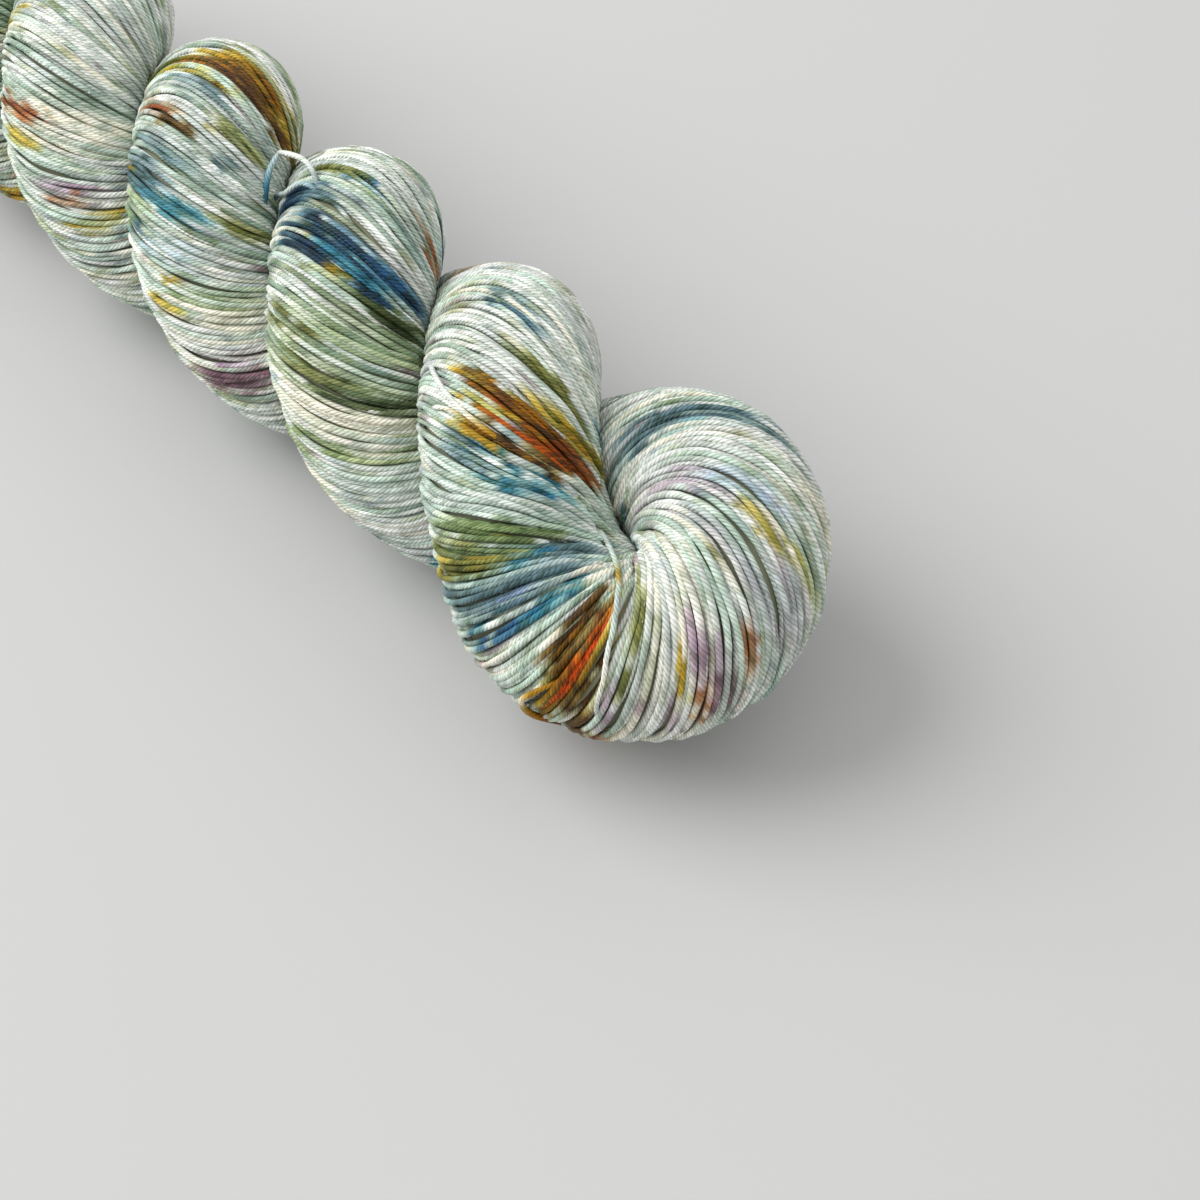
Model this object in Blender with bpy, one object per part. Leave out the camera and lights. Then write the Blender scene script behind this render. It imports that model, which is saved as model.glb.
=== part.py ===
"""A twisted hank of yarn, lying on a surface.

The hank is one long bundle of strands, the ply, folded in two. Its two legs are twisted
round each other in a right-handed helix. At the far end one leg closes as a collar round
the neck of the other, whose last loop stands out of the collar.
The axis of the helix runs along X, with the fold at the +X end.
"""
import math

import bpy
import numpy as np

MM = 0.001

# The twisted body
PLY_RADIUS = 16.4 * MM        # radius of one ply
PLY_OFFSET = 12.9 * MM        # from the hank's axis to a ply's centre: the plies press flat
LEAD = 90.5 * MM              # length along the axis of one whole turn
BODY_LENGTH = 200.0 * MM      # from the fold's centre to where the far end starts

# The fold at the front
FOLD_BEND = 16.9 * MM         # radius of the bend, across the hank
FOLD_STRETCH = 1.19           # how much longer the bend is than it is wide
FOLD_PLY = 17.5 * MM          # ply radius round the fold, where the bundle spreads
FOLD_EASE = 18.0 * MM         # length over which the fold's sizes ease to the body's
FOLD_ANGLE = math.radians(11) # tilt of the fold's plane from level
FOLD_SLACK = 0.77             # share of the twist that is missing at the fold

# The far end, in millimetres and turns. "ahead" is measured along the axis past the body,
# "offset" from the axis to the ply's centre, and "turn" is how far the ply has gone round.
NUB_TABLE = [
    # ahead, offset, turn, ply radius
    (0.0, 12.9, 0.000, 16.4),
    (10.0, 10.0, 0.110, 13.2),
    (20.0, 8.0, 0.190, 9.4),
    (30.0, 8.2, 0.230, 8.6),
    (40.0, 8.6, 0.250, 9.0),
    (46.2, 6.0, 0.255, 9.2),
    (48.6, 0.0, 0.255, 9.2),
    (46.2, -6.0, 0.255, 9.2),
    (40.0, -8.6, 0.260, 9.0),
    (30.0, -8.0, 0.275, 8.4),
    (20.0, -7.5, 0.300, 7.0),
    (10.0, -4.0, 0.330, 4.0),
]
COLLAR_TABLE = [
    # ahead, offset, turn, ply radius
    (0.0, 12.9, 0.500, 16.4),
    (8.0, 14.2, 0.600, 13.8),
    (15.0, 16.0, 0.740, 10.6),
    (20.0, 17.4, 0.900, 9.0),
    (22.0, 17.8, 1.060, 8.6),
    (22.5, 17.8, 1.300, 8.5),
    (22.5, 17.6, 1.550, 8.4),
    (22.5, 16.6, 1.760, 8.0),
    (22.0, 14.0, 1.920, 7.0),
    (18.0, 9.0, 2.040, 5.0),
]
NUB_BEND_AHEAD = 40.0 * MM    # where the nub's bend has its centre

# What the surface flattens under the hank
FLAT_DEPTH = 1.1 * MM

# Mesh density
SEGMENTS = 48
FRONT_RINGS = 11
BODY_SPANS = [
    # from, to, in millimetres behind the fold's centre, and rings
    (0.0, 208.0, 56),
    (208.0, 240.0, 16),
]
NUB_RINGS = 7
PATH_STEP = 1.0 * MM
STEEPEST = 1.6                # most that the far end's outside may drop for its length
WALL_SPAN = 8.0 * MM          # how far along the axis such a drop is looked for

YARN_COLOUR = (0.56, 0.62, 0.55, 1.0)
YARN_ROUGHNESS = 0.62


def ease(t):
    """Smooth step from 0 to 1."""
    t = np.clip(t, 0.0, 1.0)
    return t * t * (3.0 - 2.0 * t)


def twist_angle(x):
    """Angle of the helix about the axis at x, slowed round the fold."""
    t = np.clip(-x / FOLD_EASE, 0.0, 1.0)
    behind = -FOLD_EASE * (t - (t ** 3 - 0.5 * t ** 4))
    missing = FOLD_SLACK * np.where(x > 0.0, x, behind)
    return FOLD_ANGLE + 2.0 * math.pi * (x - missing) / LEAD


def around(x, offset, angle):
    """Points at the given offset and angle about the axis."""
    return np.stack([x, offset * np.cos(angle), offset * np.sin(angle)], axis=1)


def spaced(points, radii, step):
    """The same path with even steps."""
    run = np.concatenate([[0.0], np.cumsum(np.linalg.norm(np.diff(points, axis=0), axis=1))])
    wanted = np.linspace(0.0, run[-1], int(round(run[-1] / step)) + 1)
    even = [np.interp(wanted, run, values) for values in (*points.T, radii)]
    return np.stack(even[:3], axis=1), even[3]


def folded_ply():
    """Centre and radius of the ply from one end of the body round the fold to the other."""
    arc = math.pi * FOLD_BEND / 2.0
    along = np.linspace(-arc - BODY_LENGTH, arc + BODY_LENGTH, 901)
    reach = np.abs(along)
    bend = np.minimum(reach / FOLD_BEND, math.pi / 2.0)
    x = np.where(reach < arc, FOLD_STRETCH * FOLD_BEND * np.cos(bend), arc - reach)
    eased = ease((reach - arc) / FOLD_EASE)
    leg = FOLD_BEND + (PLY_OFFSET - FOLD_BEND) * eased
    offset = np.where(reach < arc, FOLD_BEND * np.sin(bend), leg) * np.sign(along)
    radius = FOLD_PLY + (PLY_RADIUS - FOLD_PLY) * ease((reach - 0.9 * arc) / FOLD_EASE)
    return around(x, offset, twist_angle(x)), radius


def smooth_rows(rows, steps=12):
    """Catmull-Rom curve through a table's rows, without its first point."""
    rows = np.array(rows)
    ends = np.concatenate([2 * rows[:1] - rows[1:2], rows, 2 * rows[-1:] - rows[-2:-1]])
    out = []
    for a, b, c, d in zip(ends, ends[1:], ends[2:], ends[3:]):
        for t in np.arange(1, steps + 1) / steps:
            out.append(b + 0.5 * t * (c - a + t * (2 * a - 5 * b + 4 * c - d + t * (3 * (b - c) + d - a))))
    return np.array(out)


def far_end(table):
    """Centre and radius of a leg past the body."""
    ahead, offset, turn, radius = smooth_rows(table).T
    angle = twist_angle(-BODY_LENGTH) - 2.0 * math.pi * turn
    return around(-BODY_LENGTH - ahead * MM, offset * MM, angle), radius * MM


def whole_ply():
    """Centre and radius of the whole ply, from the nub's hidden end to the collar's."""
    body, body_radius = folded_ply()
    nub, nub_radius = far_end(NUB_TABLE)
    collar, collar_radius = far_end(COLLAR_TABLE)
    centre = np.concatenate([collar[::-1], body, nub])
    radius = np.concatenate([collar_radius[::-1], body_radius, nub_radius])
    return spaced(centre, radius, PATH_STEP)


def stations():
    """Where each ring's rays start on the axis, and their angle from +X."""
    spans = [np.linspace(near, far, rings, endpoint=False) for near, far, rings in BODY_SPANS]
    nub_centre = -BODY_LENGTH - NUB_BEND_AHEAD
    body = -MM * np.concatenate(spans)
    quarter = math.pi / 2.0
    start = np.concatenate([np.zeros(FRONT_RINGS), body, np.full(NUB_RINGS + 1, nub_centre)])
    front = np.linspace(0.0, quarter, FRONT_RINGS, endpoint=False)
    back = np.linspace(quarter, 2.0 * quarter, NUB_RINGS + 1)
    lean = np.concatenate([front, np.full(len(body), quarter), back])
    return start, lean


def outer_reach(start, direction, centre, radius):
    """Distance from each start along its direction to the outside of the ply."""
    offset = centre[None] - start[:, None]
    along = np.einsum("vnk,vk->vn", offset, direction)
    inside = along ** 2 - (offset ** 2).sum(axis=2) + radius[None] ** 2
    hit = np.where(inside > 0.0, along + np.sqrt(np.maximum(inside, 0.0)), 0.0)
    return hit.max(axis=1)


def leaned_reach(start, direction, centre, radius):
    """The outside of the ply, with the walls of the far end leaned over the gaps beside them."""
    out = outer_reach(start, direction, centre, radius)
    far = start[:, 0] < -BODY_LENGTH
    for shift in np.arange(-WALL_SPAN, WALL_SPAN + PATH_STEP, PATH_STEP):
        beside = outer_reach(start[far] + np.array([shift, 0.0, 0.0]), direction[far], centre, radius)
        out[far] = np.maximum(out[far], beside - STEEPEST * abs(shift))
    return out


def new_ball(name, rings):
    """A unit ball whose rings become the hank's sections."""
    bpy.ops.mesh.primitive_uv_sphere_add(segments=SEGMENTS, ring_count=rings, radius=1.0)
    ball = bpy.context.object
    ball.name = name
    ball.data.name = name
    return ball


def read_points(mesh):
    """The mesh's vertices as an array."""
    flat = np.empty(len(mesh.vertices) * 3)
    mesh.vertices.foreach_get("co", flat)
    return flat.reshape(-1, 3)


def wound_form(unit, start_x, lean):
    """The ball's points moved out to the surface of the two plies."""
    rings = len(start_x) - 1
    ring = np.rint(np.arccos(np.clip(unit[:, 2], -1.0, 1.0)) / math.pi * rings).astype(int)
    start_x, lean = start_x[ring], lean[ring]
    angle = np.arctan2(unit[:, 1], unit[:, 0]) + twist_angle(start_x)
    direction = np.stack([np.cos(lean), np.sin(lean) * np.cos(angle), np.sin(lean) * np.sin(angle)], axis=1)
    start = np.stack([start_x, np.zeros(len(unit)), np.zeros(len(unit))], axis=1)
    centre, radius = whole_ply()
    return start + direction * leaned_reach(start, direction, centre, radius)[:, None]


def lay_down(points):
    """Flatten the lowest lobes a little and set the origin below the middle."""
    floor = points[:, 2].min() + FLAT_DEPTH
    points[:, 2] = np.maximum(points[:, 2], floor)
    low, high = points.min(axis=0), points.max(axis=0)
    return points - np.array([(low[0] + high[0]) / 2.0, (low[1] + high[1]) / 2.0, floor])


def yarn_material():
    material = bpy.data.materials.new("yarn")
    material.use_nodes = True
    shader = material.node_tree.nodes["Principled BSDF"]
    shader.inputs["Base Color"].default_value = YARN_COLOUR
    shader.inputs["Roughness"].default_value = YARN_ROUGHNESS
    shader.inputs["Metallic"].default_value = 0.0
    return material


def build_hank(collection):
    start_x, lean = stations()
    ball = new_ball("hank", len(start_x) - 1)
    points = lay_down(wound_form(read_points(ball.data), start_x, lean))
    ball.data.vertices.foreach_set("co", points.ravel())
    ball.data.update()
    ball.data.shade_smooth()
    ball.data.materials.append(yarn_material())
    for other in list(ball.users_collection):
        other.objects.unlink(ball)
    collection.objects.link(ball)


def main():
    for item in list(bpy.data.objects):
        bpy.data.objects.remove(item)
    collection = bpy.data.collections.new("twisted_hank")
    bpy.context.scene.collection.children.link(collection)
    build_hank(collection)


main()
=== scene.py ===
"""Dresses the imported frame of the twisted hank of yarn: its strands, their dye and the light."""
import math

import bpy
import numpy as np
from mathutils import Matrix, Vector


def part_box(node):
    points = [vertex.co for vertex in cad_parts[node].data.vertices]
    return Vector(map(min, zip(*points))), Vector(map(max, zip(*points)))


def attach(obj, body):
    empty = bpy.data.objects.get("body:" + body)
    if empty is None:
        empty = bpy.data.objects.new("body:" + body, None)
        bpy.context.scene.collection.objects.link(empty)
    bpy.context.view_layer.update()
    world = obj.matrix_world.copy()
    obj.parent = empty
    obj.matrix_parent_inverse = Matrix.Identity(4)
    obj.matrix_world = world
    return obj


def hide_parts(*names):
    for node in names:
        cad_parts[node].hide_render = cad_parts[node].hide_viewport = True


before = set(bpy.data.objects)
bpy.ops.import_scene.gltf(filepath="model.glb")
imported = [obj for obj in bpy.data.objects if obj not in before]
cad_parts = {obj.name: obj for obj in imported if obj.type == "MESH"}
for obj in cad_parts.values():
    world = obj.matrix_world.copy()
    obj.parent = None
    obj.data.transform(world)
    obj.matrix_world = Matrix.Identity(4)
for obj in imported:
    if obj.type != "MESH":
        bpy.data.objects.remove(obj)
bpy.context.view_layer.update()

MM = 0.001
TURN = 2.0 * math.pi

# The ply's path, in millimetres, as in the part's source
PLY_RADIUS = 16.4
PLY_OFFSET = 12.9
LEAD = 90.5
BODY_LENGTH = 200.0
FOLD_BEND = 16.9
FOLD_STRETCH = 1.19
FOLD_PLY = 17.5
FOLD_EASE = 18.0
FOLD_ANGLE = math.radians(11)
FOLD_SLACK = 0.77
FLAT_DEPTH = 1.1
NUB_TABLE = [
    # ahead, offset, turn, ply radius
    (0.0, 12.9, 0.000, 16.4), (10.0, 10.0, 0.110, 13.2), (20.0, 8.0, 0.190, 9.4),
    (30.0, 8.2, 0.230, 8.6), (40.0, 8.6, 0.250, 9.0), (46.2, 6.0, 0.255, 9.2),
    (48.6, 0.0, 0.255, 9.2), (46.2, -6.0, 0.255, 9.2), (40.0, -8.6, 0.260, 9.0),
    (30.0, -8.0, 0.275, 8.4), (20.0, -7.5, 0.300, 7.0), (10.0, -4.0, 0.330, 4.0),
]
COLLAR_TABLE = [
    # ahead, offset, turn, ply radius
    (0.0, 12.9, 0.500, 16.4), (8.0, 14.2, 0.600, 13.8), (15.0, 16.0, 0.740, 10.6),
    (20.0, 17.4, 0.900, 9.0), (22.0, 17.8, 1.060, 8.6), (22.5, 17.8, 1.300, 8.5),
    (22.5, 17.6, 1.550, 8.4), (22.5, 16.6, 1.760, 8.0), (22.0, 14.0, 1.920, 7.0),
    (18.0, 9.0, 2.040, 5.0),
]
PATH_STEP = 1.0
OTHER_STRETCH = 25  # rows from which on the path counts as another stretch
FAN = 180  # directions round the ply that are sampled
BINS = 720  # and places where a strand may lie
BIN_TURNS = np.arange(1, BINS + 1) / BINS * TURN
SMALLEST_REACH = 0.3  # from the ply's centre to its surface
FARTHEST = 1e9  # no limit
TINY = 1e-6  # these two keep divisions away from 0
NO_LENGTH = 1e-12

# How the strands run. The scale times the two values after TWIST gives their turns round the
# ply for a lead's length of it.
TWIST_SCALE = 0.914
TWIST = -TURN / LEAD * TWIST_SCALE
TWIST_BODY = 1.62
TWIST_FOLD = 0.10  # what the fold adds
TWIST_REACH = 40.0  # and how far along the ply
FAN_RATE = 0.20  # how fast the strands spread from the fold's eye
FAN_PLACE = -27.0  # where along the ply that is strongest
FAN_LENGTH = 22.0
FAN_TURN = math.radians(178)  # a quarter turn before the line that they spread from
FAN_SIDE = math.radians(284)  # the side of the ply where they do

# How they share the surface
STRAND_RADIUS = 0.53
CLOSEST = 0.76  # across the strands, least from one to the next
CLOSEST_FOLD = 1.22  # and round the fold, where they lie looser
FULLER = 0.22  # how much thicker they are there, as nothing pulls them tight
LOOSER_LENGTH = 26.0
SEED_STEP = 12  # rows between the rings of starts
SHORTEST = 9.0  # a strand that would show for less isn't laid
SMOOTHING = 13  # rows over which a sideways move is evened out
SPREAD_ROUNDS = 16
SPREAD_RATE = 0.6  # share of a wanted move that is made in one round
LONGEST_MOVE = 0.5
NARROW = 4.0  # where a radian of the ply is narrower than this, no strand moves
NARROW_EASE = 6.0
DIVE = 12.0  # length along the ply over which a strand goes under the others
DIVE_DEPTH = 1.9
DIVE_FROM = 0.6  # share of its room that it has when it starts to go down
LEAST_NEED = 0.02  # share of its room that a strand keeps at its ends

# How one strand wavers, with the length of each wave
SWAY_LENGTH = 14.0
FINE_SWAY = 0.3  # for one of the wider sway
FINE_SWAY_LENGTH = 4.0
SINK_LENGTH = 18.0
MOST_SINK = 1.3
LEAST_WIDTH = 3.0
LEAST_OUT = 0.25  # from the ply's centre to a strand's
THICKNESS_SPREAD = 0.09  # from strand to strand
THICKNESS_WAVE = 0.06  # and along one
THICKNESS_LENGTH = 12.0
THICKNESS_NOISE = 0.05
THICKNESS_LIMITS = (0.75, 1.25)
FEWEST_KNOTS = 4
FEWEST_POINTS = 4

# The layers of strands, with their depth, how far they sway and sink, and their facets' length
OUTER = dict(names=[f"strands_{n}" for n in range(1, 10)], seed=7, looser=1.0, shortest=SHORTEST,
             depth=0.0, sway=0.34, sink=0.60, segment=1.8, thicker=1.0, sides=6)
UNDER = dict(names=["under_strands"], seed=11, looser=1.15, shortest=2.0 * SHORTEST,
             depth=0.72, sway=0.4, sink=0.3, segment=3.3, thicker=1.25, sides=4)
BAKE_MARGIN = 0.04  # round each strip of the second UV map

# The loose strands
LOOSE_SEED = 5
LOOSE_SEGMENT = 0.9
LOOSE_SIDES = 6
LOOSE_STEPS = 8  # points for one row of a strand's table
LOOSE_WINDOW = 11  # points over which its bends are rounded

# The core, whose dark colours are painted shade for the gaps between the strands
CORE_DEPTH = 2.0
CORE_LEAST_OUT = 0.2
CORE_ROWS = 2  # every second row of the ply's surface
CORE_COLUMNS = 3  # and every third direction
CORE_ROUGHNESS = 0.8
CORE_NOISE = 120.0
# painted shade: dark olive that stands in for the shadow deep between the strands
CORE_SHADE_COLOURS = ((0.13, 0.13, 0.075, 1.0), (0.32, 0.33, 0.22, 1.0))

# The yarn's surface
PLIES = 4
MARK_SPACING = 1.02  # along the strand, from one ply to the next
MARK_LOSS = (0.46, 0.41, 0.48)  # most that one ply is darker than the dye, by channel
MARK_SHARPNESS = 1.7  # above 1, few plies are much darker
MARK_UNDYED = 0.8  # how dark the marks are without dye
MARK_DYED = 0.9  # and what full dye adds to that
MARK_START = 40.0  # the plies start anywhere in this length
YARN_ROUGHNESS = 0.5
YARN_GLOSS = 0.25
RIDGE_POWER = 0.8
FIBRE_ACROSS = 3.5
FIBRE_ALONG = 1.4
FIBRE_DETAIL = 3.0
FIBRE_HEIGHT = 0.50  # for one of a ply's height
PLY_HEIGHT = 0.13 * MM
SHADE_LEAST = 0.48  # least share of the colour that is left, in the painted shade of the grooves between the plies
SHADE_RIDGE = 0.38
SHADE_FIBRE = 0.56

# How the dye soaks in. A streak's shares are of its half length and half width.
WHITE_LEVEL = 255.0
GAMMA = 2.2
DARKEST = 5.0  # keeps the mixing of dyes away from black
STREAK_REACH = 1.9  # how far along the strands it is looked for
SIDE_FADE = 0.5
END_FULL = 0.6  # it is whole up to here
END_FADE = 0.6
ACROSS_SHIFT = 0.3  # how much the dye's place differs from strand to strand
ALONG_SHIFT = 0.35
LONGER = (0.7, 1.35)  # and its length
MISSED = 0.2  # share of the strands that took hardly any dye
MISSED_TAKE = (0.05, 0.35)
TAKE = 0.98  # what the others took of it
TAKE_SPREAD = 0.16
TAKE_LIMITS = (0.6, 1.15)
SOAK_WAVE = 0.3  # how much that changes along a strand
SOAK_LENGTH = 4.0
GROUND_WAVE = 0.6  # how fully a strand changes to another ground colour
GROUND_LENGTH = 22.0
FLECK_SPACING = 6.0
FLECK_LENGTH = (1.2, 5.0)
FLECK_STRENGTH = (0.15, 0.7)
LIGHT_WAVE = 0.05
LIGHT_LENGTH = 5.0

# The studio
FLOOR_SIZE = 6.0
FLOOR_COLOUR = (0.481, 0.481, 0.478, 1.0)
FLOOR_ROUGHNESS = 0.9
FLOOR_GLOSS = 0.1
KEY_PLACE = (-1.00, -0.80, 1.25)
KEY_TARGET = (0.05, 0.0, 0.02)
KEY_SIZE = 1.80
KEY_POWER = 34.5
SURROUNDINGS = 0.86
WHITE_LIGHT = (1.0, 1.0, 1.0, 1.0)

# The camera, found from the photograph
IMAGE = 1200
AZIMUTH = 48.808
ELEVATION = 47.115
DISTANCE = 0.456
FOCAL = 79.08
SENSOR = 36.0
AIM_LIFT = 8.0  # of the fold's eye, which the camera is turned to
AIM_PIXEL = (622.4, 520.6)  # where the photograph shows the eye
NEAR_CLIP = 0.01


def ease(t):
    """Smooth step from 0 to 1."""
    t = np.clip(t, 0.0, 1.0)
    return t * t * (3.0 - 2.0 * t)


def unit(v):
    """Vectors of length 1."""
    return v / (np.linalg.norm(v, axis=-1, keepdims=True) + NO_LENGTH)


def twist_angle(x):
    """Angle of the helix about the axis at x, slowed round the fold."""
    t = np.clip(-x / FOLD_EASE, 0.0, 1.0)
    behind = -FOLD_EASE * (t - (t ** 3 - 0.5 * t ** 4))
    missing = FOLD_SLACK * np.where(x > 0.0, x, behind)
    return FOLD_ANGLE + TURN * (x - missing) / LEAD


def around(x, offset, angle):
    """Points at the given offset and angle about the axis."""
    return np.stack([x, offset * np.cos(angle), offset * np.sin(angle)], axis=1)


def folded_ply():
    """Centre and radius of the ply from one end of the body round the fold to the other."""
    arc = math.pi * FOLD_BEND / 2.0
    along = np.linspace(-arc - BODY_LENGTH, arc + BODY_LENGTH, 901)
    reach = np.abs(along)
    bend = np.minimum(reach / FOLD_BEND, math.pi / 2.0)
    x = np.where(reach < arc, FOLD_STRETCH * FOLD_BEND * np.cos(bend), arc - reach)
    eased = ease((reach - arc) / FOLD_EASE)
    leg = FOLD_BEND + (PLY_OFFSET - FOLD_BEND) * eased
    offset = np.where(reach < arc, FOLD_BEND * np.sin(bend), leg) * np.sign(along)
    radius = FOLD_PLY + (PLY_RADIUS - FOLD_PLY) * ease((reach - 0.9 * arc) / FOLD_EASE)
    return around(x, offset, twist_angle(x)), radius


def smooth_rows(rows, steps=12):
    """Catmull-Rom curve through a table's rows, without its first point."""
    rows = np.array(rows)
    ends = np.concatenate([2 * rows[:1] - rows[1:2], rows, 2 * rows[-1:] - rows[-2:-1]])
    out = []
    for a, b, c, d in zip(ends, ends[1:], ends[2:], ends[3:]):
        for t in np.arange(1, steps + 1) / steps:
            out.append(b + 0.5 * t * (c - a + t * (2 * a - 5 * b + 4 * c - d + t * (3 * (b - c) + d - a))))
    return np.array(out)


def far_end(table):
    """Centre and radius of a leg past the body."""
    ahead, offset, turn, radius = smooth_rows(table).T
    angle = twist_angle(-BODY_LENGTH) - TURN * turn
    return around(-BODY_LENGTH - ahead, offset, angle), radius


def whole_ply():
    """Centre and radius of the whole ply from end to end, in even steps."""
    body, body_radius = folded_ply()
    nub, nub_radius = far_end(NUB_TABLE)
    collar, collar_radius = far_end(COLLAR_TABLE)
    centre = np.concatenate([collar[::-1], body, nub])
    radius = np.concatenate([collar_radius[::-1], body_radius, nub_radius])
    points, radii, _ = resample(centre, radius[:, None], PATH_STEP)
    return np.ascontiguousarray(points), np.ascontiguousarray(radii[:, 0])


def carried_frames(centre, start):
    """Directions across the path that turn no more than the path makes them."""
    tangent = unit(np.gradient(centre, axis=0))
    first = np.array([1.0, 0.0, 0.0])
    across = np.zeros_like(centre)
    across[start] = unit(first - tangent[start] * (first @ tangent[start]))
    for order in (range(start + 1, len(centre)), range(start - 1, -1, -1)):
        last = across[start]
        for i in order:
            last = unit(last - tangent[i] * (last @ tangent[i]))
            across[i] = last
    return tangent, across, np.cross(tangent, across)


def free_reach(centre, radius, fan):
    """How far the ply goes in each direction before another stretch of it is nearer."""
    reach = np.empty(fan.shape[:2])
    for i in range(len(centre)):
        gap = centre - centre[i]
        facing = fan[i] @ gap.T
        other = np.abs(np.arange(len(centre)) - i) > OTHER_STRETCH
        room = (gap * gap).sum(axis=1) + np.where(other, radius[i] ** 2 - radius ** 2, 0.0)
        limit = np.where(facing > TINY, room[None] / (2.0 * np.maximum(facing, TINY)), FARTHEST)
        limit[:, i] = FARTHEST
        reach[i] = np.minimum(limit.min(axis=1), radius[i])
    return np.maximum(reach, SMALLEST_REACH)


class Ply:
    """The ply's path, the frames along it and its outer surface, sampled on a grid."""

    def __init__(self):
        self.centre, self.radius = whole_ply()
        self.apex = int(np.argmax(self.centre[:, 0]))
        self.count = len(self.centre)
        self.step = np.linalg.norm(self.centre[1] - self.centre[0])
        self.s = (np.arange(self.count) - self.apex) * self.step
        self.tangent, self.across, self.over = carried_frames(self.centre, self.apex)
        turn = np.arange(FAN) / FAN * TURN
        self.fan = np.cos(turn)[None, :, None] * self.across[:, None] \
            + np.sin(turn)[None, :, None] * self.over[:, None]
        self.reach = free_reach(self.centre, self.radius, self.fan)
        self.points = self.centre[:, None] + self.fan * self.reach[..., None]
        self.turn_rate = twist_rate(self.s[:, None], turn[None])
        self.measure()

    def measure(self):
        """Length of strand for a millimetre of ply, and width across the strands for a radian."""
        along = np.gradient(self.points, axis=0) / self.step
        round_it = (np.roll(self.points, -1, 1) - np.roll(self.points, 1, 1)) / (2.0 * TURN / FAN)
        heading = along + self.turn_rate[..., None] * round_it
        self.stretch = np.linalg.norm(heading, axis=-1)
        heading = unit(heading)
        self.width = np.linalg.norm(np.cross(round_it, heading), axis=-1)
        fine = np.repeat(self.width, BINS // FAN, axis=1) * TURN / BINS
        self.over_width = np.cumsum(fine, axis=1)

    def sample(self, grid, row, turn):
        """A grid's value at whole rows and any turns."""
        place = np.mod(turn, TURN) / TURN * FAN
        low = np.floor(place).astype(int) % FAN
        part = place - np.floor(place)
        return grid[row, low] * (1.0 - part) + grid[row, (low + 1) % FAN] * part

    def trace(self, row, turns):
        """Turns along the whole ply of the strands that pass the given turns at a row."""
        out = np.empty((self.count, len(turns)))
        out[row] = turns
        for way, stop in ((1, self.count), (-1, -1)):
            now = np.array(turns, float)
            for i in range(row, stop - way, way):
                half = now + 0.5 * way * self.step * self.sample(self.turn_rate, i, now)
                now = now + way * self.step * self.sample(self.turn_rate, i, half)
                out[i + way] = now
        return out


def fan_out(s, turn):
    """How the strands spread beside the fold's eye, for one of the two legs."""
    side = 0.5 + 0.5 * np.cos(turn - FAN_SIDE)
    return FAN_RATE * np.exp(-((s - FAN_PLACE) / FAN_LENGTH) ** 2) * np.cos(turn - FAN_TURN) * side


def twist_rate(s, turn):
    """Radians by which the strands turn round the ply for a millimetre along it."""
    even = TWIST * (TWIST_BODY + TWIST_FOLD * np.exp(-(s / TWIST_REACH) ** 2))
    return even + fan_out(s, turn) + fan_out(-s, -turn)


def starts_round(ply, row, pitch, first):
    """Turns at which strands may start: evenly spaced on the first ring, then anywhere."""
    if not first:
        return np.arange(FAN) / FAN * TURN
    whole = ply.over_width[row, -1]
    count = int(whole / pitch)
    return np.interp(np.arange(count) / count * whole, ply.over_width[row], BIN_TURNS)


def free_run(taken, cell, row, count):
    """First and last row of the free stretch about a row, along one strand's cells."""
    blocked = np.flatnonzero(taken[np.arange(count), cell])
    low = blocked[blocked < row].max(initial=-1) + 1
    high = blocked[blocked > row].min(initial=count) - 1
    return low, high


def lay_strands(ply, looser, shortest):
    """Rows and turns of strands that cover the ply evenly, each ending where it has no room."""
    pitch = CLOSEST + (CLOSEST_FOLD - CLOSEST) * np.exp(-(ply.s / LOOSER_LENGTH) ** 2)
    pitch = looser * pitch[:, None]
    taken = np.zeros((ply.count, BINS), bool)
    whole = ply.over_width[:, -1:]
    stations = sorted(range(ply.apex % SEED_STEP, ply.count, SEED_STEP), key=lambda i: abs(i - ply.apex))
    runs = []
    for row in stations:
        traced = ply.trace(row, starts_round(ply, row, pitch[row, 0], row == stations[0]))
        cells = np.floor(np.mod(traced, TURN) / TURN * BINS).astype(int) % BINS
        for cell, turns in zip(cells.T, traced.T):
            if taken[row, cell[row]]:
                continue
            low, high = free_run(taken, cell, row, ply.count)
            if (high - low) * ply.step < shortest:
                continue
            rows = np.arange(low, high + 1)
            away = np.abs(ply.over_width[rows] - ply.over_width[rows, cell[rows]][:, None])
            taken[rows] |= np.minimum(away, whole[rows] - away) < pitch[rows]
            runs.append((low, high, turns))
    return runs


def with_dives(ply, runs):
    """First and last row of each run with its dives, and for all rows its turn and its need.

    The need is the share of its room that a strand asks for, which falls off in the dives.
    """
    extra = int(round(DIVE / ply.step))
    turns = np.full((len(runs), ply.count), np.nan)
    need = np.zeros((len(runs), ply.count))
    spans = []
    for n, (low, high, turn) in enumerate(runs):
        start, stop = max(0, low - extra), min(ply.count - 1, high + extra)
        spans.append((start, stop))
        rows = np.arange(start, stop + 1)
        turns[n, rows] = turn[rows]
        before = (rows - start) / extra if start > 0 else np.ones(len(rows))
        after = (stop - rows) / extra if stop < ply.count - 1 else np.ones(len(rows))
        need[n, rows] = np.clip(np.minimum(before, after), LEAST_NEED, 1.0)
    return spans, turns, need


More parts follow.
